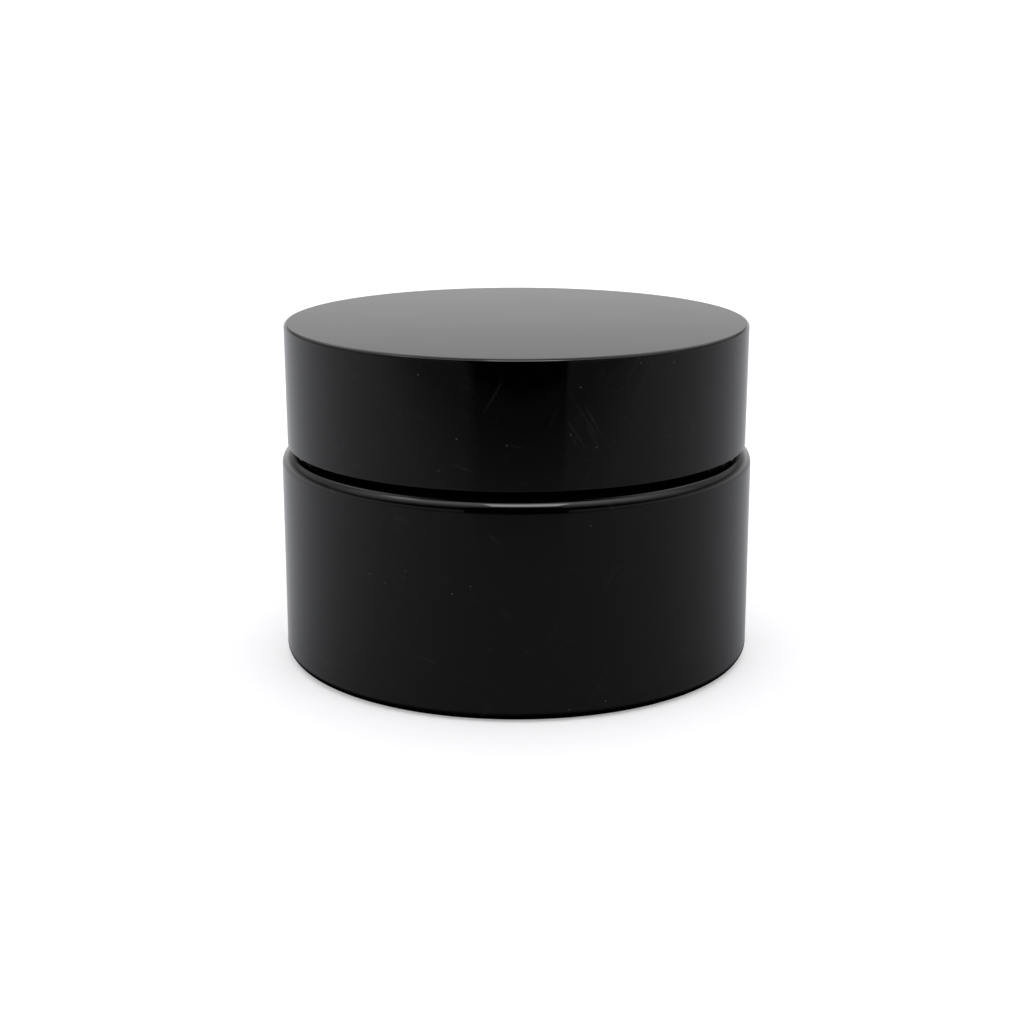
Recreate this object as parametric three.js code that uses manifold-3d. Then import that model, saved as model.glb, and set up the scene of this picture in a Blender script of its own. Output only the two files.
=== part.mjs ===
// A low, round screw-top cream jar: an opaque glass jar, a sealing disc lying in its mouth,
// and a double-walled lid made of an outer shell, a threaded inner cap and a foam liner.
// Millimetres, +Z up. The origin is the centre of the circle that the jar stands on.

import * as THREE from 'three';
import { mergeVertices } from 'three/addons/utils/BufferGeometryUtils.js';
import Module from 'manifold-3d';

// Driving dimensions of the outside.
const BODY_RADIUS = 30.5;
const SHOULDER_HEIGHT = 27.4;
const TOTAL_HEIGHT = 43.8;
const LID_RADIUS = 29.85;
const LID_RIM_HEIGHT = 28.2;

// Clearance between pieces that rest on or slide past each other.
const GAP = 0.3;

// The glass jar.
const HEEL_ROUNDING = 1.7;
const SHOULDER_ROUNDING = 1.7;
const PUNT_DEPTH = 1;
const PUNT_RADIUS = 21.5;
const STANDING_RADIUS = 25;
const NECK_RADIUS = 25.1;
const NECK_FILLET = 0.8;
const MOUTH_RADIUS = 22.3;
const MOUTH_HEIGHT = 37.6;
const MOUTH_ROUNDING = 0.7;
const CAVITY_RADIUS = 26.6;
const CAVITY_FLOOR = 6.5;
const CAVITY_FILLET = 4;
const INNER_SHOULDER_LOW = 22.5;
const INNER_SHOULDER_HIGH = 28;

// The three-start right-hand thread that the neck and the inner cap share.
const THREAD_STARTS = 3;
const THREAD_LEAD = 10.5;
const THREAD_PITCH = THREAD_LEAD / THREAD_STARTS;
const THREAD_DEPTH = 1.2;
const THREAD_ROOT_WIDTH = 1.6;
const THREAD_CREST_WIDTH = 0.8;
const THREAD_BITE = 0.4;
const THREAD_RUN_OUT = 0.12;
const NECK_THREAD_HEIGHT = 33.5;
const NECK_THREAD_SWEEP = THREE.MathUtils.degToRad(150);
const CAP_THREAD_SWEEP = THREE.MathUtils.degToRad(100);

// The sealing disc: a flanged dish with a finger tab standing in it.
const DISC_WALL = 1;
const FLANGE_RADIUS = 25.2;
const FLANGE_THICKNESS = 0.9;
const FLANGE_BOTTOM = MOUTH_HEIGHT + GAP;
const FLANGE_TOP = FLANGE_BOTTOM + FLANGE_THICKNESS;
const DISH_RADIUS = MOUTH_RADIUS - GAP;
const DISH_BOTTOM = 33.6;
const DISH_FILLET = 0.4;
const TAB_LENGTH = 15;
const TAB_HEIGHT = 3.7;
const TAB_THICKNESS = 1.4;
const TAB_CORNER = 2.6;

// The foam liner.
const LINER_RADIUS = 26.2;
const LINER_BOTTOM = FLANGE_TOP + GAP;
const LINER_THICKNESS = 1.3;
const LINER_EDGE = 0.25;

// The threaded inner cap.
const CAP_PLATE_BOTTOM = LINER_BOTTOM + LINER_THICKNESS + GAP;
const CAP_PLATE_THICKNESS = 1.3;
const CAP_TOP = CAP_PLATE_BOTTOM + CAP_PLATE_THICKNESS;
const CAP_BOTTOM = 29.4;
const SKIRT_INNER_RADIUS = 26.7;
const SKIRT_OUTER_RADIUS = 27.8;
const CAP_EDGE = 0.5;
const LINER_BEAD_DEPTH = 0.7;
const LINER_BEAD_HALF_WIDTH = 0.35;
const LINER_BEAD_HEIGHT = LINER_BOTTOM - GAP - LINER_BEAD_HALF_WIDTH;
const RIB_COUNT = 24;
const RIB_HEIGHT_ABOVE_SKIRT = 0.4;
const RIB_WIDTH = 1;
const RIB_BOTTOM_MARGIN = 0.4;
const RIB_TOP_MARGIN = 1;
const RIB_BOTTOM = CAP_BOTTOM + RIB_BOTTOM_MARGIN;
const RIB_TOP = CAP_TOP - RIB_TOP_MARGIN;

// The outer shell of the lid.
const SHELL_INNER_RADIUS = SKIRT_OUTER_RADIUS + RIB_HEIGHT_ABOVE_SKIRT + GAP;
const SHELL_CEILING = CAP_TOP + GAP;
const SHELL_TOP_ROUNDING = 0.45;
const SHELL_RIM_ROUNDING = 0.1;
const SHELL_DRAFT = 0.1;
const SHELL_BEAD_DEPTH = 0.5;
const SHELL_LEAD_IN = 0.35;
const SHELL_BEAD_LOW = LID_RIM_HEIGHT + SHELL_LEAD_IN;
const SHELL_BEAD_HIGH = CAP_BOTTOM - GAP;

// How finely round shapes are cut.
const SEGMENTS = 64;
const LONGEST_ARC_STEP = 0.6;
const FEWEST_ARC_STEPS = 3;
const CORNER_STEPS = 4;
const BLEND_STEPS = 7;
const THREAD_STEPS = 24;

const QUARTER = Math.PI / 2;
const TURN = 2 * Math.PI;

const wasm = await Module();
wasm.setup();

function point(radius, height) {
  return new THREE.Vector2(radius, height);
}

// Points along a circular arc of the profile, from one angle to another about its centre.
function arc(centreRadius, centreHeight, rounding, from, to) {
  const length = rounding * Math.abs(to - from);
  const steps = Math.max(FEWEST_ARC_STEPS, Math.ceil(length / LONGEST_ARC_STEP));
  const points = [];
  for (let step = 0; step <= steps; step++) {
    const angle = from + ((to - from) * step) / steps;
    points.push(point(
      centreRadius + rounding * Math.cos(angle),
      centreHeight + rounding * Math.sin(angle),
    ));
  }
  return points;
}

// Points that lead smoothly from one point of the profile to another, upright at both ends.
function blend(from, to) {
  const points = [];
  for (let step = 0; step <= BLEND_STEPS; step++) {
    const share = step / BLEND_STEPS;
    const swing = (1 - Math.cos(Math.PI * share)) / 2;
    points.push(point(
      from.x + (to.x - from.x) * swing,
      from.y + (to.y - from.y) * share,
    ));
  }
  return points;
}

// Turns a profile of radius and height about the Z axis. The profile runs anticlockwise.
function revolve(profile) {
  const geometry = new THREE.LatheGeometry(profile, SEGMENTS);
  geometry.rotateX(QUARTER);
  return geometry;
}

function toSolid(geometry) {
  const bare = geometry.clone();
  bare.deleteAttribute('normal');
  bare.deleteAttribute('uv');
  const merged = mergeVertices(bare);
  const corners = merged.index.array;
  const triangles = [];
  for (let i = 0; i < corners.length; i += 3) {
    const [a, b, c] = corners.slice(i, i + 3);
    if (a !== b && b !== c && c !== a) triangles.push(a, b, c);
  }
  return new wasm.Manifold(new wasm.Mesh({
    numProp: 3,
    vertProperties: new Float32Array(merged.attributes.position.array),
    triVerts: new Uint32Array(triangles),
  }));
}

function toGeometry(solid) {
  const { vertProperties, triVerts } = solid.getMesh();
  const geometry = new THREE.BufferGeometry();
  geometry.setAttribute('position', new THREE.BufferAttribute(vertProperties, 3));
  geometry.setIndex(new THREE.BufferAttribute(triVerts, 1));
  geometry.computeVertexNormals();
  return geometry;
}

function joined(base, additions) {
  return additions.reduce((whole, geometry) => whole.add(toSolid(geometry)), toSolid(base));
}

function copiesAround(count, makeOne) {
  return Array.from({ length: count }, (_, index) => makeOne((index * TURN) / count));
}

// One ridge of thread: a bar wound along a right-hand helix on a round wall, sinking into the
// wall at both ends. side is 1 for a ridge on the outside of the wall and -1 for the inside.
function threadRidge(wallRadius, side, middleAngle, middleHeight, sweep) {
  const ridge = new THREE.BoxGeometry(1, 1, 1, 1, THREAD_STEPS, 1);
  const place = ridge.attributes.position;
  for (let i = 0; i < place.count; i++) {
    const onCrest = place.getX(i) * side > 0;
    const along = place.getY(i);
    const fade = Math.min(1, (0.5 - Math.abs(along)) / THREAD_RUN_OUT);
    const crest = fade * (THREAD_DEPTH + THREAD_BITE / 2) - THREAD_BITE / 2;
    const radius = wallRadius + side * (onCrest ? crest : -THREAD_BITE);
    const width = onCrest ? THREAD_CREST_WIDTH : THREAD_ROOT_WIDTH;
    const turned = along * sweep;
    const height = middleHeight + (THREAD_LEAD * turned) / TURN + place.getZ(i) * width;
    const angle = middleAngle + turned;
    place.setXYZ(i, radius * Math.cos(angle), radius * Math.sin(angle), height);
  }
  return ridge;
}

// From the middle of the base out to the wall, up over the shoulder and the neck to the mouth,
// and back down through the cavity.
function jarProfile() {
  const bodyTop = SHOULDER_HEIGHT - SHOULDER_ROUNDING;
  const neckFoot = SHOULDER_HEIGHT + NECK_FILLET;
  const mouthEdge = MOUTH_HEIGHT - MOUTH_ROUNDING;
  const cavityCorner = CAVITY_FLOOR + CAVITY_FILLET;
  return [
    point(0, PUNT_DEPTH),
    ...blend(point(PUNT_RADIUS, PUNT_DEPTH), point(STANDING_RADIUS, 0)),
    ...arc(BODY_RADIUS - HEEL_ROUNDING, HEEL_ROUNDING, HEEL_ROUNDING, -QUARTER, 0),
    ...arc(BODY_RADIUS - SHOULDER_ROUNDING, bodyTop, SHOULDER_ROUNDING, 0, QUARTER),
    ...arc(NECK_RADIUS + NECK_FILLET, neckFoot, NECK_FILLET, -QUARTER, -Math.PI),
    ...arc(NECK_RADIUS - MOUTH_ROUNDING, mouthEdge, MOUTH_ROUNDING, 0, QUARTER),
    ...arc(MOUTH_RADIUS + MOUTH_ROUNDING, mouthEdge, MOUTH_ROUNDING, QUARTER, Math.PI),
    ...blend(point(MOUTH_RADIUS, INNER_SHOULDER_HIGH), point(CAVITY_RADIUS, INNER_SHOULDER_LOW)),
    ...arc(CAVITY_RADIUS - CAVITY_FILLET, cavityCorner, CAVITY_FILLET, 0, -QUARTER),
    point(0, CAVITY_FLOOR),
  ];
}

function glassJar() {
  const threads = copiesAround(THREAD_STARTS, (angle) =>
    threadRidge(NECK_RADIUS, 1, angle, NECK_THREAD_HEIGHT, NECK_THREAD_SWEEP));
  return toGeometry(joined(revolve(jarProfile()), threads));
}

function discProfile() {
  const edge = FLANGE_THICKNESS / 2;
  const dishInside = DISH_RADIUS - DISC_WALL;
  const dishFloor = DISH_BOTTOM + DISC_WALL;
  return [
    point(0, DISH_BOTTOM),
    ...arc(DISH_RADIUS - DISC_WALL, dishFloor, DISC_WALL, -QUARTER, 0),
    point(DISH_RADIUS, FLANGE_BOTTOM),
    ...arc(FLANGE_RADIUS - edge, FLANGE_BOTTOM + edge, edge, -QUARTER, QUARTER),
    ...arc(dishInside + DISH_FILLET, FLANGE_TOP - DISH_FILLET, DISH_FILLET, QUARTER, Math.PI),
    ...arc(dishInside - DISH_FILLET, dishFloor + DISH_FILLET, DISH_FILLET, 0, -QUARTER),
    point(0, dishFloor),
  ];
}

// The finger tab stands across the middle of the dish, with its two upper corners rounded.
function fingerTab() {
  const foot = DISH_BOTTOM + DISC_WALL / 2;
  const top = DISH_BOTTOM + DISC_WALL + TAB_HEIGHT;
  const half = TAB_LENGTH / 2;
  const outline = new THREE.Shape();
  outline.moveTo(-half, foot);
  outline.lineTo(half, foot);
  outline.lineTo(half, top - TAB_CORNER);
  outline.absarc(half - TAB_CORNER, top - TAB_CORNER, TAB_CORNER, 0, QUARTER);
  outline.lineTo(TAB_CORNER - half, top);
  outline.absarc(TAB_CORNER - half, top - TAB_CORNER, TAB_CORNER, QUARTER, Math.PI);
  const tab = new THREE.ExtrudeGeometry(outline, {
    depth: TAB_THICKNESS,
    bevelEnabled: false,
    curveSegments: CORNER_STEPS,
  });
  tab.translate(0, 0, -TAB_THICKNESS / 2);
  tab.rotateX(QUARTER);
  return tab;
}

function sealingDisc() {
  return toGeometry(joined(revolve(discProfile()), [fingerTab()]));
}

function lidLiner() {
  const top = LINER_BOTTOM + LINER_THICKNESS;
  return revolve([
    point(0, LINER_BOTTOM),
    point(LINER_RADIUS - LINER_EDGE, LINER_BOTTOM),
    point(LINER_RADIUS, LINER_BOTTOM + LINER_EDGE),
    point(LINER_RADIUS, top - LINER_EDGE),
    point(LINER_RADIUS - LINER_EDGE, top),
    point(0, top),
  ]);
}

// The skirt carries a bead inside that keeps the liner from dropping out of the cap.
function capProfile() {
  return [
    point(SKIRT_INNER_RADIUS, CAP_BOTTOM),
    point(SKIRT_OUTER_RADIUS, CAP_BOTTOM),
    ...arc(SKIRT_OUTER_RADIUS - CAP_EDGE, CAP_TOP - CAP_EDGE, CAP_EDGE, 0, QUARTER),
    point(0, CAP_TOP),
    point(0, CAP_PLATE_BOTTOM),
    point(SKIRT_INNER_RADIUS, CAP_PLATE_BOTTOM),
    point(SKIRT_INNER_RADIUS, LINER_BEAD_HEIGHT + LINER_BEAD_HALF_WIDTH),
    point(SKIRT_INNER_RADIUS - LINER_BEAD_DEPTH, LINER_BEAD_HEIGHT),
    point(SKIRT_INNER_RADIUS, LINER_BEAD_HEIGHT - LINER_BEAD_HALF_WIDTH),
    point(SKIRT_INNER_RADIUS, CAP_BOTTOM),
  ];
}

// An upright rib on the outside of the skirt, which centres the cap in the shell.
function capRib(angle) {
  const bite = SKIRT_OUTER_RADIUS - SKIRT_INNER_RADIUS;
  const depth = bite / 2 + RIB_HEIGHT_ABOVE_SKIRT;
  const outerRadius = SKIRT_OUTER_RADIUS + RIB_HEIGHT_ABOVE_SKIRT;
  const rib = new THREE.BoxGeometry(depth, RIB_WIDTH, RIB_TOP - RIB_BOTTOM);
  rib.translate(outerRadius - depth / 2, 0, (RIB_BOTTOM + RIB_TOP) / 2);
  rib.rotateZ(angle);
  return rib;
}

// The cap's ridges lie midway between the neck's, and pull up against them from below.
function lidInnerCap() {
  const middleHeight = NECK_THREAD_HEIGHT - THREAD_PITCH / 2;
  const threads = copiesAround(THREAD_STARTS, (angle) =>
    threadRidge(SKIRT_INNER_RADIUS, -1, angle, middleHeight, CAP_THREAD_SWEEP));
  const ribs = copiesAround(RIB_COUNT, capRib);
  return toGeometry(joined(revolve(capProfile()), [...threads, ...ribs]));
}

// The shell has a slight draft, and a bead inside its rim that holds the inner cap in.
function shellProfile() {
  const rimCorner = LID_RADIUS - SHELL_DRAFT - SHELL_RIM_ROUNDING;
  const rimEdge = LID_RIM_HEIGHT + SHELL_RIM_ROUNDING;
  const topCorner = LID_RADIUS - SHELL_TOP_ROUNDING;
  const topEdge = TOTAL_HEIGHT - SHELL_TOP_ROUNDING;
  const beadRadius = SHELL_INNER_RADIUS - SHELL_BEAD_DEPTH;
  return [
    point(beadRadius, SHELL_BEAD_LOW),
    point(SHELL_INNER_RADIUS, LID_RIM_HEIGHT),
    ...arc(rimCorner, rimEdge, SHELL_RIM_ROUNDING, -QUARTER, 0),
    ...arc(topCorner, topEdge, SHELL_TOP_ROUNDING, 0, QUARTER),
    point(0, TOTAL_HEIGHT),
    point(0, SHELL_CEILING),
    point(SHELL_INNER_RADIUS, SHELL_CEILING),
    point(SHELL_INNER_RADIUS, SHELL_BEAD_HIGH),
    point(beadRadius, SHELL_BEAD_LOW),
  ];
}

function lidShell() {
  return revolve(shellProfile());
}

function piece(name, geometry, color, roughness) {
  const material = new THREE.MeshStandardMaterial({ color, roughness, metalness: 0 });
  const mesh = new THREE.Mesh(geometry, material);
  mesh.name = name;
  return mesh;
}

const jar = new THREE.Group();
jar.add(piece('glass_jar', glassJar(), 0x0b0b0c, 0.05));
jar.add(piece('sealing_disc', sealingDisc(), 0xe9e9e4, 0.4));
jar.add(piece('lid_liner', lidLiner(), 0xf2f2f0, 0.85));
jar.add(piece('lid_inner_cap', lidInnerCap(), 0x141415, 0.35));
jar.add(piece('lid_shell', lidShell(), 0x0b0b0c, 0.06));

export default jar;
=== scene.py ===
"""Looks of a low black screw-top cream jar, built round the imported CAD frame.

Each CAD node is replaced by a finely turned mesh of the same shape and size, with a procedural
material. Profiles are in millimetres, as (radius, height) from the centre of the base.
"""

import math

import bpy
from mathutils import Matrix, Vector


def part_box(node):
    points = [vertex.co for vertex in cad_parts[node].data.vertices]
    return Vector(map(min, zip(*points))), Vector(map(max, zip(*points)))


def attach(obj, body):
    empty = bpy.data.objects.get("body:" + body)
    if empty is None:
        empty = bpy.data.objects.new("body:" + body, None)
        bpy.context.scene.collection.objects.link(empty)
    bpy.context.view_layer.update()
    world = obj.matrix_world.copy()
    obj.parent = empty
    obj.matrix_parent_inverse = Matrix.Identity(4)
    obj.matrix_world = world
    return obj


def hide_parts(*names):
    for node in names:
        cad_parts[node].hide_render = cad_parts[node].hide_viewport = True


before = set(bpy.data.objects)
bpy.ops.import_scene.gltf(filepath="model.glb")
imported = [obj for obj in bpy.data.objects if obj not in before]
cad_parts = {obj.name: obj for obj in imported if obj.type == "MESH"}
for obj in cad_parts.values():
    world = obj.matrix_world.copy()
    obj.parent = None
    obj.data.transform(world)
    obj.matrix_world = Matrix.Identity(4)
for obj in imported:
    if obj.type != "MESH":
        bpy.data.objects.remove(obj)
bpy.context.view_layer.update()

MM = 0.001
TURN = 2 * math.pi
QUARTER = math.pi / 2


def edges_of(node):
    """Outer radius, lowest height and highest height of a CAD node, in millimetres."""
    low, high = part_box(node)
    return high[0] / MM, low[2] / MM, high[2] / MM


BODY_RADIUS, _, MOUTH_HEIGHT = edges_of("glass_jar")
FLANGE_RADIUS, DISH_BOTTOM, FLANGE_TOP = edges_of("sealing_disc")
LINER_RADIUS, LINER_BOTTOM, LINER_TOP = edges_of("lid_liner")
RIB_RADIUS, CAP_BOTTOM, CAP_TOP = edges_of("lid_inner_cap")
LID_RADIUS, RIM_HEIGHT, LID_TOP = edges_of("lid_shell")
# The clearance between pieces that rest on or slide past each other.
GAP = LINER_BOTTOM - FLANGE_TOP

# The jar. The punt is the recess under the base, inside the ring that the jar stands on.
SHOULDER_HEIGHT = 27.4
HEEL_ROUNDING = 1.7
SHOULDER_ROUNDING = 1.7
PUNT_DEPTH = 1
PUNT_RADIUS = 21.5
STANDING_RADIUS = 25
NECK_RADIUS = 25.1
NECK_FILLET = 0.8
MOUTH_RADIUS = 22.3
MOUTH_ROUNDING = 0.7
CAVITY_RADIUS = 26.6
CAVITY_FLOOR = 6.5
CAVITY_FILLET = 4
INNER_SHOULDER_LOW = 22.5
INNER_SHOULDER_HIGH = 28

# The thread: three ridges, each cut to its sweep and running out over a share of it at both
# ends. The cap's ridges sit half a pitch below the neck's.
THREAD_STARTS = 3
THREAD_LEAD = 10.5
THREAD_DEPTH = 1.2
THREAD_ROOT_WIDTH = 1.6
THREAD_CREST_WIDTH = 0.8
THREAD_RUN_OUT = 0.12
NECK_THREAD_HEIGHT = 33.5
NECK_THREAD_SWEEP = math.radians(150)
CAP_THREAD_HEIGHT = NECK_THREAD_HEIGHT - THREAD_LEAD / THREAD_STARTS / 2
CAP_THREAD_SWEEP = math.radians(100)

# The sealing disc and its finger tab.
DISC_WALL = 1
DISH_FILLET = 0.4
FLANGE_THICKNESS = 0.9
TAB_LENGTH = 15
TAB_HEIGHT = 3.7
TAB_THICKNESS = 1.4
TAB_CORNER = 2.6
TAB_EDGE = 0.3

# The liner, and the bead inside the cap that keeps it in.
LINER_EDGE = 0.25
LINER_BEAD_DEPTH = 0.7
LINER_BEAD_HALF_WIDTH = 0.35
LINER_BEAD_BLUNTING = 0.05

# The inner cap: a plate, a skirt and upright ribs outside it.
CAP_PLATE_THICKNESS = 1.3
SKIRT_INNER_RADIUS = 26.7
SKIRT_OUTER_RADIUS = 27.8
CAP_EDGE = 0.5
SKIRT_RIM_ROUNDING = 0.2
RIB_COUNT = 24
RIB_WIDTH = 1
RIB_SLOPE = 0.08
RIB_BOTTOM_MARGIN = 0.4
RIB_TOP_MARGIN = 1
RIB_LOW = CAP_BOTTOM + RIB_BOTTOM_MARGIN
RIB_HIGH = CAP_TOP - RIB_TOP_MARGIN

# The outer shell. Its rim is smaller than its top by the draft, and has a bead inside.
SHELL_TOP_ROUNDING = 0.45
SHELL_RIM_ROUNDING = 0.1
SHELL_DRAFT = 0.1
SHELL_BEAD_DEPTH = 0.5
SHELL_LEAD_IN = 0.35
SHELL_INNER_ROUNDING = 0.5

# How finely shapes are cut: steps of a turn, steps between two ribs, and rows along the threads.
SEGMENTS = 288
STEPS_BETWEEN_RIBS = 10
NECK_THREAD_ROWS = 120
CAP_THREAD_ROWS = 96
# The threads' rows stop this far from the fillets and beads next to them.
THREAD_ROWS_FOOT = 1
THREAD_ROWS_MARGIN = 0.3
# A close row at each end of a straight stretch keeps the shading of a flat wall from leaking
# into the rounding beside it.
HOLD = 0.04
# Edges that bend by more degrees than this stay sharp. The steep sides of the threads have to
# look smooth, so the two threaded pieces allow more.
CREASE = 35
JAR_CREASE = 80
CAP_CREASE = 75


# ---------------------------------------------------------------- profiles


def arc(radius, height, rounding, start, end, steps=12):
    """Points of a circular arc about (radius, height), from one angle to another."""
    angles = [start + (end - start) * step / steps for step in range(steps + 1)]
    return [(radius + rounding * math.cos(a), height + rounding * math.sin(a)) for a in angles]


def swing(start, end, steps=24):
    """Points from start to end, upright at both ends, as glass flows from a neck into a body."""
    shares = [step / steps for step in range(steps + 1)]
    return [
        (
            start[0] + (end[0] - start[0]) * (1 - math.cos(math.pi * share)) / 2,
            start[1] + (end[1] - start[1]) * share,
        )
        for share in shares
    ]


def filled(profile, longest=1.5):
    """The profile with its straight stretches cut into rows at most `longest` mm apart, and a
    close row at each end. Stretches with no room for the close rows are left alone."""
    points = []
    for here, there in zip(profile, profile[1:]):
        points.append(here)
        length = math.dist(here, there)
        if length < 6 * HOLD:
            continue
        rows = max(1, math.ceil(length / longest))
        shares = [HOLD / length, *[row / rows for row in range(1, rows)], 1 - HOLD / length]
        points += [
            (here[0] + (there[0] - here[0]) * share, here[1] + (there[1] - here[1]) * share)
            for share in shares
        ]
    points.append(profile[-1])
    return points


def even_angles(count=SEGMENTS):
    return [TURN * step / count for step in range(count)]


def revolve(name, profile, angles=None, relief=None, crease=CREASE):
    """A closed mesh turned about Z. relief(angle, radius, height) adds to the radius, in mm.

    The profile starts and ends on the axis, or its last point joins its first.
    """
    angles = angles or even_angles()
    relief = relief or (lambda angle, radius, height: 0)
    vertices = []
    rings = []
    for radius, height in profile:
        if radius == 0:
            rings.append([len(vertices)] * len(angles))
            vertices.append((0, 0, height * MM))
            continue
        rings.append(list(range(len(vertices), len(vertices) + len(angles))))
        for angle in angles:
            reach = (radius + relief(angle, radius, height)) * MM
            vertices.append((reach * math.cos(angle), reach * math.sin(angle), height * MM))
    pairs = list(zip(rings, rings[1:]))
    if profile[0][0] > 0:
        pairs.append((rings[-1], rings[0]))
    faces = []
    for lower, upper in pairs:
        for step in range(len(angles)):
            after = (step + 1) % len(angles)
            corners = [lower[step], lower[after], upper[after], upper[step]]
            faces.append(list(dict.fromkeys(corners)))
    return finished_mesh(name, vertices, faces, crease)


def finished_mesh(name, vertices, faces, crease=CREASE):
    """A smoothly shaded object from vertices in metres, sharp where it bends past the crease."""
    mesh = bpy.data.meshes.new(name)
    mesh.from_pydata(vertices, [], faces)
    mesh.validate()
    mesh.shade_smooth()
    mesh.set_sharp_from_angle(angle=math.radians(crease))
    piece = bpy.data.objects.new(name, mesh)
    bpy.context.scene.collection.objects.link(piece)
    return piece


# ---------------------------------------------------------------- relief


def smooth_step(share):
    share = min(1, max(0, share))
    return share * share * (3 - 2 * share)


def thread_relief(angle, height, middle_height, sweep):
    """Height of the thread at a place on its wall: rounded ridges that run out at both ends."""
    tallest = 0
    flank = (THREAD_ROOT_WIDTH - THREAD_CREST_WIDTH / 2) / 2
    for start in range(THREAD_STARTS):
        turned = (angle - start * TURN / THREAD_STARTS + math.pi) % TURN - math.pi
        run_out = (0.5 - abs(turned) / sweep) / THREAD_RUN_OUT
        off_centre = abs(height - middle_height - THREAD_LEAD * turned / TURN)
        side = (THREAD_ROOT_WIDTH / 2 - off_centre) / flank
        tallest = max(tallest, smooth_step(run_out) * smooth_step(side))
    return tallest * THREAD_DEPTH


# ---------------------------------------------------------------- pieces


def jar_profile():
    body_top = SHOULDER_HEIGHT - SHOULDER_ROUNDING
    neck_foot = SHOULDER_HEIGHT + NECK_FILLET
    mouth_edge = MOUTH_HEIGHT - MOUTH_ROUNDING
    thread_low = neck_foot + THREAD_ROWS_FOOT
    thread_high = mouth_edge - THREAD_ROWS_MARGIN
    neck_rows = [
        (NECK_RADIUS, thread_low + (thread_high - thread_low) * row / NECK_THREAD_ROWS)
        for row in range(NECK_THREAD_ROWS + 1)
    ]
    return filled([
        (0, PUNT_DEPTH),
        *swing((PUNT_RADIUS, PUNT_DEPTH), (STANDING_RADIUS, 0), 10),
        *arc(BODY_RADIUS - HEEL_ROUNDING, HEEL_ROUNDING, HEEL_ROUNDING, -QUARTER, 0),
        *arc(BODY_RADIUS - SHOULDER_ROUNDING, body_top, SHOULDER_ROUNDING, 0, QUARTER, 18),
        *arc(NECK_RADIUS + NECK_FILLET, neck_foot, NECK_FILLET, -QUARTER, -math.pi, 8),
        *neck_rows,
        *arc(NECK_RADIUS - MOUTH_ROUNDING, mouth_edge, MOUTH_ROUNDING, 0, QUARTER, 8),
        *arc(MOUTH_RADIUS + MOUTH_ROUNDING, mouth_edge, MOUTH_ROUNDING, QUARTER, math.pi, 8),
        *swing((MOUTH_RADIUS, INNER_SHOULDER_HIGH), (CAVITY_RADIUS, INNER_SHOULDER_LOW)),
        *arc(CAVITY_RADIUS - CAVITY_FILLET, CAVITY_FLOOR + CAVITY_FILLET, CAVITY_FILLET, 0, -QUARTER),
        (0, CAVITY_FLOOR),
    ])


def make_glass_jar():
    def neck_thread(angle, radius, height):
        if radius != NECK_RADIUS:
            return 0
        return thread_relief(angle, height, NECK_THREAD_HEIGHT, NECK_THREAD_SWEEP)

    return revolve("jar_glass", jar_profile(), relief=neck_thread, crease=JAR_CREASE)


def disc_profile():
    edge = FLANGE_THICKNESS / 2
    flange_bottom = FLANGE_TOP - FLANGE_THICKNESS
    outside = MOUTH_RADIUS - GAP
    inside = outside - DISC_WALL
    floor = DISH_BOTTOM + DISC_WALL
    return filled([
        (0, DISH_BOTTOM),
        *arc(outside - DISC_WALL, DISH_BOTTOM + DISC_WALL, DISC_WALL, -QUARTER, 0),
        (outside, flange_bottom),
        *arc(FLANGE_RADIUS - edge, flange_bottom + edge, edge, -QUARTER, QUARTER, 16),
        *arc(inside + DISH_FILLET, FLANGE_TOP - DISH_FILLET, DISH_FILLET, QUARTER, math.pi, 6),
        *arc(inside - DISH_FILLET, floor + DISH_FILLET, DISH_FILLET, 0, -QUARTER, 6),
        (0, floor),
    ])


def make_dish():
    return revolve("disc_dish", disc_profile())


def make_finger_tab():
    """The tab that stands across the dish: a slab with round upper corners and soft edges."""
    floor = DISH_BOTTOM + DISC_WALL
    half = TAB_LENGTH / 2
    corner_height = floor + TAB_HEIGHT - TAB_CORNER
    foot = floor - DISC_WALL / 4
    outline = [
        (-half, foot),
        (half, foot),
        *arc(half - TAB_CORNER, corner_height, TAB_CORNER, 0, QUARTER),
        *arc(TAB_CORNER - half, corner_height, TAB_CORNER, QUARTER, math.pi),
    ]
    front = [(x * MM, -TAB_THICKNESS / 2 * MM, z * MM) for x, z in outline]
    back = [(x, -y, z) for x, y, z in front]
    count = len(outline)
    sides = [
        [step, step + count, (step + 1) % count + count, (step + 1) % count]
        for step in range(count)
    ]
    faces = [list(range(count)), list(range(2 * count - 1, count - 1, -1)), *sides]
    tab = finished_mesh("disc_finger_tab", front + back, faces)
    bevel = tab.modifiers.new("soft_edges", "BEVEL")
    bevel.width = TAB_EDGE * MM
    bevel.segments = 4
    bevel.limit_method = "ANGLE"
    bevel.angle_limit = math.radians(40)
    return tab


def make_liner():
    edge_radius = LINER_RADIUS - LINER_EDGE
    return revolve("liner_foam", filled([
        (0, LINER_BOTTOM),
        *arc(edge_radius, LINER_BOTTOM + LINER_EDGE, LINER_EDGE, -QUARTER, 0, 6),
        *arc(edge_radius, LINER_TOP - LINER_EDGE, LINER_EDGE, 0, QUARTER, 6),
        (0, LINER_TOP),
    ]))


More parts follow.
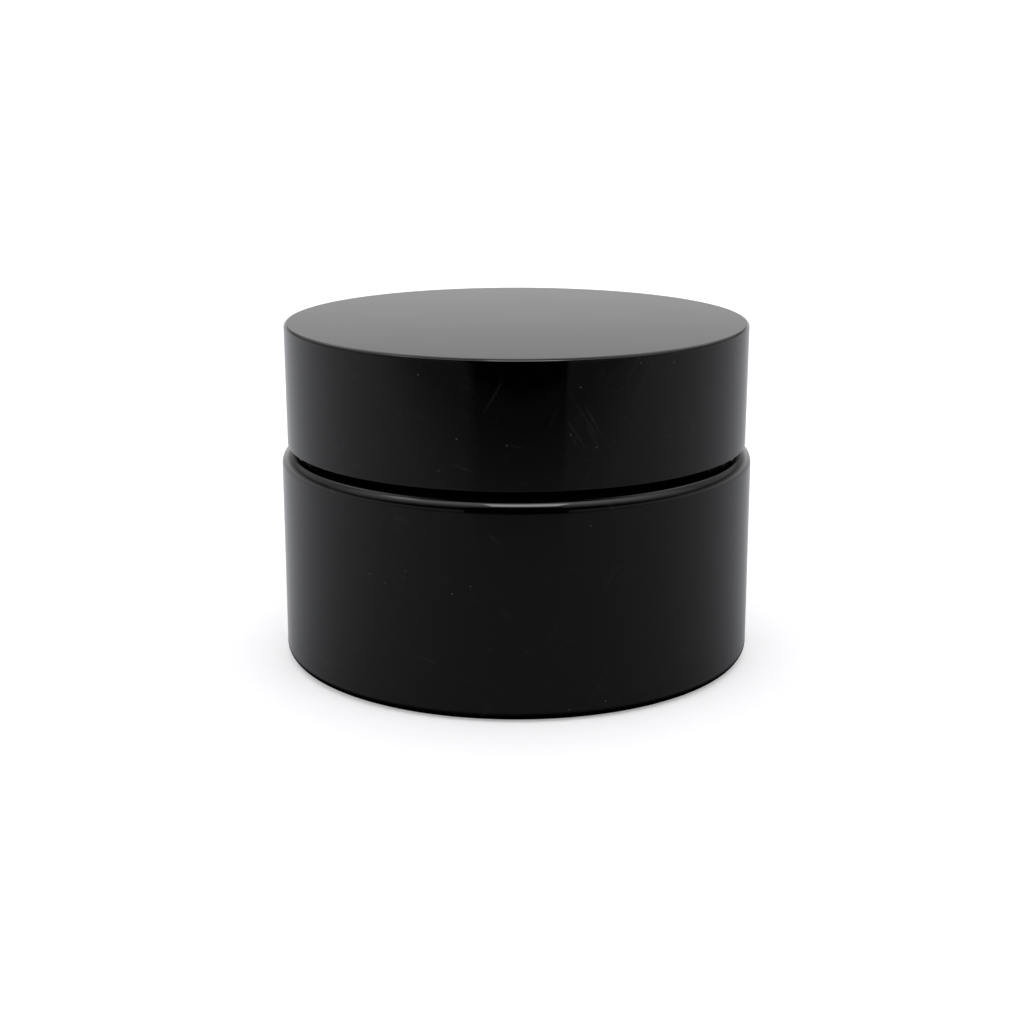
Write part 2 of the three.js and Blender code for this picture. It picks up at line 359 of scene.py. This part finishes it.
def cap_profile():
    plate_bottom = CAP_TOP - CAP_PLATE_THICKNESS
    bead_height = LINER_BOTTOM - GAP - LINER_BEAD_HALF_WIDTH
    bead_radius = SKIRT_INNER_RADIUS - LINER_BEAD_DEPTH + LINER_BEAD_BLUNTING
    rim = SKIRT_RIM_ROUNDING
    thread_high = bead_height - THREAD_ROWS_FOOT
    thread_low = CAP_BOTTOM + THREAD_ROWS_MARGIN
    thread_rows = [
        (SKIRT_INNER_RADIUS, thread_high + (thread_low - thread_high) * row / CAP_THREAD_ROWS)
        for row in range(CAP_THREAD_ROWS + 1)
    ]
    return filled([
        (SKIRT_INNER_RADIUS + rim, CAP_BOTTOM),
        *arc(SKIRT_OUTER_RADIUS - rim, CAP_BOTTOM + rim, rim, -QUARTER, 0, 4),
        (SKIRT_OUTER_RADIUS, RIB_LOW - HOLD),
        (SKIRT_OUTER_RADIUS, RIB_LOW),
        (SKIRT_OUTER_RADIUS, RIB_HIGH),
        (SKIRT_OUTER_RADIUS, RIB_HIGH + HOLD),
        *arc(SKIRT_OUTER_RADIUS - CAP_EDGE, CAP_TOP - CAP_EDGE, CAP_EDGE, 0, QUARTER, 6),
        (0, CAP_TOP),
        (0, plate_bottom),
        (SKIRT_INNER_RADIUS, plate_bottom),
        (SKIRT_INNER_RADIUS, bead_height + LINER_BEAD_HALF_WIDTH),
        (bead_radius, bead_height + LINER_BEAD_BLUNTING),
        (bead_radius, bead_height - LINER_BEAD_BLUNTING),
        (SKIRT_INNER_RADIUS, bead_height - LINER_BEAD_HALF_WIDTH),
        *thread_rows,
        (SKIRT_INNER_RADIUS, CAP_BOTTOM + rim),
    ])


def rib_angles():
    """Steps round the cap that fall on both edges of every rib."""
    half = RIB_WIDTH / 2 / SKIRT_OUTER_RADIUS
    slope = RIB_SLOPE / SKIRT_OUTER_RADIUS
    free = TURN / RIB_COUNT - 2 * (half + slope)
    angles = []
    for rib in range(RIB_COUNT):
        middle = rib * TURN / RIB_COUNT
        angles += [middle - half - slope, middle - half, middle, middle + half]
        angles += [
            middle + half + slope + free * step / STEPS_BETWEEN_RIBS
            for step in range(STEPS_BETWEEN_RIBS)
        ]
    return angles


def make_inner_cap():
    spacing = TURN / RIB_COUNT
    edge_of_rib = (RIB_WIDTH / 2 + RIB_SLOPE / 2) / SKIRT_OUTER_RADIUS
    rib_height = RIB_RADIUS - SKIRT_OUTER_RADIUS

    def relief(angle, radius, height):
        if radius == SKIRT_OUTER_RADIUS and RIB_LOW <= height <= RIB_HIGH:
            off_centre = abs((angle + spacing / 2) % spacing - spacing / 2)
            return rib_height if off_centre < edge_of_rib else 0
        if radius == SKIRT_INNER_RADIUS:
            return -thread_relief(angle, height, CAP_THREAD_HEIGHT, CAP_THREAD_SWEEP)
        return 0

    return revolve("cap_inner", cap_profile(), rib_angles(), relief, crease=CAP_CREASE)


def shell_profile():
    inside = RIB_RADIUS + GAP
    ceiling = CAP_TOP + GAP
    rim_corner = LID_RADIUS - SHELL_DRAFT - SHELL_RIM_ROUNDING
    top_corner = LID_RADIUS - SHELL_TOP_ROUNDING
    inner_corner = inside - SHELL_INNER_ROUNDING
    return filled([
        (inside - SHELL_BEAD_DEPTH, RIM_HEIGHT + SHELL_LEAD_IN),
        (inside, RIM_HEIGHT),
        *arc(rim_corner, RIM_HEIGHT + SHELL_RIM_ROUNDING, SHELL_RIM_ROUNDING, -QUARTER, 0, 8),
        *arc(top_corner, LID_TOP - SHELL_TOP_ROUNDING, SHELL_TOP_ROUNDING, 0, QUARTER, 14),
        (0, LID_TOP),
        (0, ceiling),
        *arc(inner_corner, ceiling - SHELL_INNER_ROUNDING, SHELL_INNER_ROUNDING, QUARTER, 0, 6),
        (inside, CAP_BOTTOM - GAP),
    ])


def make_shell():
    return revolve("lid_outer_shell", shell_profile())


# ---------------------------------------------------------------- materials


class Nodes:
    """Short calls for the shader nodes that the finishes and the stage share.

    A value is a socket, or a plain number.
    """

    def __init__(self, tree):
        self.nodes = tree.nodes
        self.links = tree.links

    def feed(self, value, socket):
        if isinstance(value, (int, float)):
            socket.default_value = value
        else:
            self.links.new(value, socket)

    def math(self, operation, first, second):
        node = self.nodes.new("ShaderNodeMath")
        node.operation = operation
        self.feed(first, node.inputs[0])
        self.feed(second, node.inputs[1])
        return node.outputs["Value"]

    def spread(self, value, low, high, to_low, to_high):
        """value mapped from low..high to to_low..to_high, and held at both ends."""
        node = self.nodes.new("ShaderNodeMapRange")
        self.feed(value, node.inputs["Value"])
        self.feed(low, node.inputs["From Min"])
        self.feed(high, node.inputs["From Max"])
        self.feed(to_low, node.inputs["To Min"])
        self.feed(to_high, node.inputs["To Max"])
        return node.outputs["Result"]

    def coordinates(self, vector):
        """The X, Y and Z of a vector socket."""
        node = self.nodes.new("ShaderNodeSeparateXYZ")
        self.links.new(vector, node.inputs[0])
        return node.outputs


class Recipe(Nodes):
    """A material, built up from one shader. Sizes are in millimetres on the object."""

    def __init__(self, name, color, roughness, ior):
        self.material = bpy.data.materials.new(name)
        self.material.use_nodes = True
        super().__init__(self.material.node_tree)
        self.color = color
        self.shader = self.nodes["Principled BSDF"]
        self.shader.inputs["Base Color"].default_value = (*color, 1)
        self.shader.inputs["Roughness"].default_value = roughness
        self.shader.inputs["IOR"].default_value = ior
        self.place = self.nodes.new("ShaderNodeTexCoord").outputs["Object"]

    def noise(self, size, detail=3, stretch=(1, 1, 1), lean=(0, 0, 0)):
        """Noise of about 0 to 1 whose blotches are `size` across, stretched along leaning axes."""
        mapping = self.nodes.new("ShaderNodeMapping")
        mapping.vector_type = "TEXTURE"
        mapping.inputs["Rotation"].default_value = lean
        mapping.inputs["Scale"].default_value = [size * MM * share for share in stretch]
        self.links.new(self.place, mapping.inputs["Vector"])
        noise = self.nodes.new("ShaderNodeTexNoise")
        noise.inputs["Scale"].default_value = 1
        noise.inputs["Detail"].default_value = detail
        self.links.new(mapping.outputs["Vector"], noise.inputs["Vector"])
        return self.spread(noise.outputs["Fac"], 0.25, 0.75, 0, 1)

    def cells(self, spacing):
        """Irregular cells `spacing` across: the distance to each one's middle, and a random share."""
        voronoi = self.nodes.new("ShaderNodeTexVoronoi")
        voronoi.inputs["Scale"].default_value = 1 / (spacing * MM)
        self.links.new(self.place, voronoi.inputs["Vector"])
        split = self.nodes.new("ShaderNodeSeparateColor")
        self.links.new(voronoi.outputs["Color"], split.inputs[0])
        return voronoi.outputs["Distance"], split.outputs["Red"]

    def dust(self, spacing, size, share):
        """A mask of specks of dust up to `size` in radius; `share` of the cells hold one."""
        distance, chance = self.cells(spacing)
        speck = self.spread(distance, size / spacing / 2, size / spacing, 1, 0)
        return self.math("MULTIPLY", speck, self.math("LESS_THAN", chance, share))

    def scratches(self, width, length, lean):
        """A mask of faint straight hairlines, where thin leaning sheets of noise cut the surface."""
        stretch = (1, length / width, length / width)
        line = self.spread(self.noise(width, 0, stretch, lean), 0.93, 1, 0, 1)
        patch = self.spread(self.noise(length / 2, detail=0), 0.65, 0.9, 0, 1)
        return self.math("MULTIPLY", line, patch)

    def all_scratches(self, width, length):
        """Hairlines leaning three different ways, each with its own length."""
        leans = {1: (0.3, 0.5, 0.2), 0.7: (0.9, -0.4, 1.1), 0.45: (-0.5, 1.2, 2.3)}
        total = 0
        for share, lean in leans.items():
            total = self.math("MAXIMUM", self.scratches(width, length * share, lean), total)
        return total

    def colour(self, share, other):
        """The base colour, going over to another one where share is 1."""
        node = self.nodes.new("ShaderNodeMix")
        node.data_type = "RGBA"
        node.inputs["A"].default_value = (*self.color, 1)
        node.inputs["B"].default_value = (*other, 1)
        self.links.new(share, node.inputs["Factor"])
        self.links.new(node.outputs["Result"], self.shader.inputs["Base Color"])

    def roughness(self, value):
        self.links.new(value, self.shader.inputs["Roughness"])

    def bump(self, *layers):
        """Relief from (height socket, depth in mm) layers."""
        total = 0
        for height, depth in layers:
            total = self.math("ADD", self.math("MULTIPLY", height, depth), total)
        node = self.nodes.new("ShaderNodeBump")
        node.inputs["Distance"].default_value = MM
        self.links.new(total, node.inputs["Height"])
        self.links.new(node.outputs["Normal"], self.shader.inputs["Normal"])


def polished(name, smoothest, cloudiest, cloud, waves, dust_share):
    """A polished black finish: cloudy gloss, slow waves in the surface, dust and hairlines.

    The roughness drifts between smoothest and cloudiest in clouds `cloud` mm across, and
    waves(recipe) gives layers of relief.
    """
    recipe = Recipe(name, (0.0004, 0.0004, 0.00045), smoothest, 1.5)
    haze = recipe.spread(recipe.noise(cloud), 0, 1, smoothest, cloudiest)
    dust = recipe.dust(spacing=2, size=0.11, share=dust_share)
    hairlines = recipe.all_scratches(width=0.22, length=11)
    faintness = 0.08
    dullness = 0.3
    wear = recipe.math("ADD", dust, recipe.math("MULTIPLY", hairlines, faintness))
    recipe.roughness(recipe.math("ADD", haze, recipe.math("MULTIPLY", wear, dullness)))
    recipe.colour(wear, (0.045, 0.044, 0.046))
    recipe.bump(*waves(recipe), (hairlines, -0.0001))
    return recipe.material


def black_glass():
    """Pressed glass: fire-polished, with slow ripples from the mould."""
    def waves(recipe):
        return [(recipe.noise(17, detail=1), 0.02), (recipe.noise(5, detail=1), 0.001)]

    return polished(
        "black_glass", smoothest=0.02, cloudiest=0.06, cloud=14, waves=waves, dust_share=0.5
    )


def black_gloss_plastic():
    """Moulded and polished plastic: flat, with a faint orange peel."""
    def waves(recipe):
        return [(recipe.noise(22, detail=1), 0.012), (recipe.noise(0.9, detail=2), 0.00015)]

    return polished(
        "black_gloss_plastic", smoothest=0.02, cloudiest=0.05, cloud=18, waves=waves, dust_share=0.7
    )


def black_polypropylene():
    """The satin inner cap: fine spark-eroded texture, faint flow lines and pale scuffs."""
    recipe = Recipe("black_polypropylene", (0.011, 0.011, 0.012), 0.36, 1.49)
    flow = recipe.noise(2.5, detail=2, stretch=(5, 5, 1))
    scuffs = recipe.all_scratches(width=0.3, length=6)
    recipe.colour(recipe.math("MULTIPLY", scuffs, 0.5), (0.06, 0.06, 0.062))
    recipe.roughness(recipe.spread(flow, 0, 1, 0.3, 0.44))
    recipe.bump((recipe.noise(0.14), 0.004), (flow, 0.006))
    return recipe.material


def natural_polyethylene():
    """The milky sealing disc: waxy, slightly translucent, with flow marks and fine scuffs."""
    recipe = Recipe("natural_polyethylene", (0.74, 0.75, 0.72), 0.38, 1.51)
    recipe.shader.inputs["Subsurface Weight"].default_value = 0.35
    recipe.shader.inputs["Subsurface Radius"].default_value = (1, 1, 0.9)
    recipe.shader.inputs["Subsurface Scale"].default_value = 0.0012
    flow = recipe.noise(7, stretch=(1, 1, 2))
    scuffs = recipe.all_scratches(width=0.3, length=8)
    recipe.colour(flow, (0.8, 0.8, 0.77))
    recipe.roughness(recipe.spread(recipe.noise(1.6), 0, 1, 0.3, 0.46))
    recipe.bump((flow, 0.02), (recipe.noise(0.25), 0.003), (scuffs, -0.003))
    return recipe.material


def white_foam():
    """Expanded polyethylene foam: closed bubbles under a thin smooth skin."""
    recipe = Recipe("white_foam", (0.84, 0.84, 0.82), 0.72, 1.4)
    distance, chance = recipe.cells(0.55)
    recipe.colour(recipe.math("MULTIPLY", distance, chance), (0.7, 0.7, 0.68))
    recipe.roughness(recipe.spread(recipe.noise(3), 0, 1, 0.6, 0.82))
    recipe.bump((distance, -0.05), (recipe.noise(6), 0.08))
    return recipe.material


def fit_out(piece, material, slot, body, *nodes):
    """Gives a piece its material, hides the CAD nodes it stands for, and hangs it on the body it
    rides on.
    """
    piece.data.materials.append(material)
    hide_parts(*nodes)
    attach(piece, body)


# ---------------------------------------------------------------- stage
# Places and sizes from here on are in metres: x is across, y is away from the camera.

JAR_FRONT = -BODY_RADIUS * MM


def only_mirrored(piece):
    """The piece shows in reflections and nowhere else, as a studio's flags and cards do."""
    piece.visible_camera = False
    piece.visible_diffuse = False
    piece.visible_shadow = False


def make_floor():
    """A round white set: flat under the jar, sweeping up to a wall far away all round."""
    flat = 2200
    bend = 1200
    thickness = 10
    own_light = 0.28
    floor = revolve("studio_floor", [
        (0, 0),
        (flat, 0),
        *arc(flat, bend, bend, -QUARTER, 0, 24),
        (flat + bend, 2 * bend),
        (flat + bend + thickness, 2 * bend),
        (flat + bend + thickness, -thickness),
        (0, -thickness),
    ], even_angles(96))
    paper = Recipe("paper", (0.89, 0.885, 0.9), 0.9, 1.45)
    paper.shader.inputs["Emission Color"].default_value = (1, 1, 1, 1)
    paper.shader.inputs["Emission Strength"].default_value = own_light
    floor.data.materials.append(paper.material)
    floor.visible_glossy = False


def glow(name, strength_of):
    """A material that only shines, as brightly as strength_of(recipe) says."""
    recipe = Recipe(name, (0, 0, 0), 1, 1)
    shine = recipe.nodes.new("ShaderNodeEmission")
    shine.inputs["Color"].default_value = (0.95, 0.96, 1, 1)
    recipe.links.new(shine.outputs["Emission"], recipe.nodes["Material Output"].inputs["Surface"])
    recipe.nodes.remove(recipe.shader)
    recipe.feed(strength_of(recipe), shine.inputs["Strength"])
    return recipe.material


def camera_shade(recipe, across, away):
    """How much light the camera and its stand take from the floor in front, from 0 to 1.

    The shade is a wedge that opens from the jar towards the camera. It is full near the camera,
    lightens towards the jar, and has a soft left edge and a crisper right one.
    """
    slope = recipe.math("DIVIDE", across, recipe.math("SUBTRACT", JAR_FRONT, away))
    left = recipe.spread(slope, -0.5, -0.36, 0, 1)
    right = recipe.spread(slope, 0.46, 0.5, 1, 0)
    full_from = -0.226
    core = recipe.spread(away, full_from, -0.205, 0.35, 0)
    fringe = recipe.spread(away, full_from, -0.09, 0.65, 0)
    depth = recipe.math("ADD", core, fringe)
    return recipe.math("MULTIPLY", depth, recipe.math("MULTIPLY", left, right))


def floor_glow(recipe):
    """The floor as the jar mirrors it: brighter behind and at the left, dark under the jar."""
    direction = recipe.nodes.new("ShaderNodeVectorMath")
    direction.operation = "NORMALIZE"
    recipe.links.new(recipe.place, direction.inputs[0])
    across, away, _ = recipe.coordinates(direction.outputs["Vector"])
    place_across, place_away, _ = recipe.coordinates(recipe.place)
    squares = recipe.math(
        "ADD", recipe.math("POWER", place_across, 2), recipe.math("POWER", place_away, 2)
    )
    reach = recipe.math("POWER", squares, 0.5)
    contact_shadow = 1.5
    factors = [
        recipe.spread(across, -1, 1, 1.05, 0.85),
        recipe.spread(place_away, -0.19, -0.11, 0.5, 1),
        recipe.spread(reach, BODY_RADIUS * MM, (BODY_RADIUS + contact_shadow) * MM, 0, 1),
        recipe.math("SUBTRACT", 1, camera_shade(recipe, place_across, place_away)),
    ]
    shine = recipe.spread(away, -1, 1, 0.18, 0.72)
    for factor in factors:
        shine = recipe.math("MULTIPLY", shine, factor)
    return shine


def add_mirrored_card(name, corners, strength_of):
    """A flat card that shines as strength_of says, and only in reflections."""
    card = finished_mesh(name, corners, [[0, 1, 2, 3]])
    card.data.materials.append(glow(name, strength_of))
    only_mirrored(card)


def make_mirrored_floor():
    half = 2.2
    corners = [(-half, -half, 0), (half, -half, 0), (half, half, 0), (-half, half, 0)]
    add_mirrored_card("mirrored_floor", corners, floor_glow)


def make_dark_front():
    """The camera and what stands round it, dark against the lit room."""
    half = 0.111
    away = -0.262
    top = 0.235
    corners = [(-half, away, 0), (half, away, 0), (half, away, top), (-half, away, top)]
    add_mirrored_card("dark_front", corners, lambda recipe: 0)


def make_camera():
    """The photo's viewing angle: a little above the lid, looking down at the jar."""
    distance = 0.2414
    height = 0.0812
    looking_down = 14.65
    camera = bpy.data.cameras.new("camera")
    camera.lens = 66.3
    camera.sensor_width = 36
    camera.shift_x = -0.0044
    camera.clip_start = 0.01
    rig = bpy.data.objects.new("camera", camera)
    rig.location = (0, -distance, height)
    rig.rotation_euler = (math.radians(90 - looking_down), 0, 0)
    bpy.context.scene.collection.objects.link(rig)
    bpy.context.scene.camera = rig


def add_light(name, kind, place):
    data = bpy.data.lights.new(name, kind)
    light = bpy.data.objects.new(name, data)
    light.location = place
    light.visible_camera = False
    bpy.context.scene.collection.objects.link(light)
    return light


def add_softbox(name, across, away, width, depth, brightness):
    """A panel that faces down and is seen only in reflections.

    Its place, from above the front of the jar, and its size are in shares of its height.
    """
    height = 0.7
    softbox = add_light(name, "AREA", (across * height, JAR_FRONT + away * height, height))
    softbox.data.shape = "RECTANGLE"
    softbox.data.size = width * height
    softbox.data.size_y = depth * height
    softbox.data.energy = brightness * math.pi * softbox.data.size * softbox.data.size_y
    softbox.visible_diffuse = False


def make_lights():
    """A softbox over the front, a small one at the left, and an even glow from above."""
    add_softbox("softbox", across=0.07, away=-0.57, width=0.56, depth=0.4, brightness=4.4)
    add_softbox("left_softbox", across=-0.74, away=-0.1, width=0.3, depth=0.28, brightness=1.4)
    dome = add_light("dome", "SUN", (0, 0, 2))
    dome.data.angle = math.radians(120)
    dome.data.energy = 0.43
    dome.visible_glossy = False


def make_world():
    """What the jar mirrors above the floor: a pale back, a pale ceiling behind, and a ring of
    light round the ceiling that is strongest in front and fades downwards."""
    world = bpy.data.worlds.new("studio")
    world.use_nodes = True
    sky = Nodes(world.node_tree)
    direction = sky.nodes.new("ShaderNodeTexCoord").outputs["Generated"]
    _, away, up = sky.coordinates(direction)
    # 1 straight at a point high behind the jar, less the further a direction turns from it.
    leaning = sky.math("ADD", sky.math("MULTIPLY", away, 0.44), sky.math("MULTIPLY", up, 0.9))
    ceiling_edge = 0.77
    back = sky.math("MULTIPLY", sky.spread(away, -1, 1, 0.2, 0.88), sky.spread(up, 0.1, 0.3, 1, 0))
    ceiling = sky.math(
        "MULTIPLY",
        sky.spread(away, 0.05, 0.25, 0, 1.1),
        sky.spread(leaning, ceiling_edge, 0.82, 0, 1),
    )
    ring = sky.math("POWER", sky.spread(leaning, 0, 0.6, 0, 1), 2)
    limits = [
        sky.spread(away, -0.3, 0.3, 1.7, 0.45),
        sky.spread(leaning, ceiling_edge, 0.81, 1, 0),
        sky.spread(up, 0.2, 0.4, 0, 1),
    ]
    for limit in limits:
        ring = sky.math("MULTIPLY", ring, limit)
    background = sky.nodes["Background"]
    background.inputs["Color"].default_value = (1, 1, 1, 1)
    sky.feed(sky.math("ADD", back, sky.math("ADD", ceiling, ring)), background.inputs["Strength"])
    bpy.context.scene.world = world


fit_out(make_glass_jar(), black_glass(), "black_glass", "jar", "glass_jar")
milky = natural_polyethylene()
fit_out(make_dish(), milky, "natural_polyethylene", "disc", "sealing_disc")
fit_out(make_finger_tab(), milky, "natural_polyethylene", "disc", "sealing_disc")
liner = make_liner()
fit_out(liner, white_foam(), "white_foam", "liner", "lid_liner")
fit_out(make_inner_cap(), black_polypropylene(), "black_polypropylene", "lid", "lid_inner_cap")
fit_out(make_shell(), black_gloss_plastic(), "black_gloss_plastic", "lid", "lid_shell")

make_floor()
make_mirrored_floor()
make_dark_front()
make_camera()
make_lights()
make_world()
bpy.context.scene.view_settings.view_transform = "Standard"
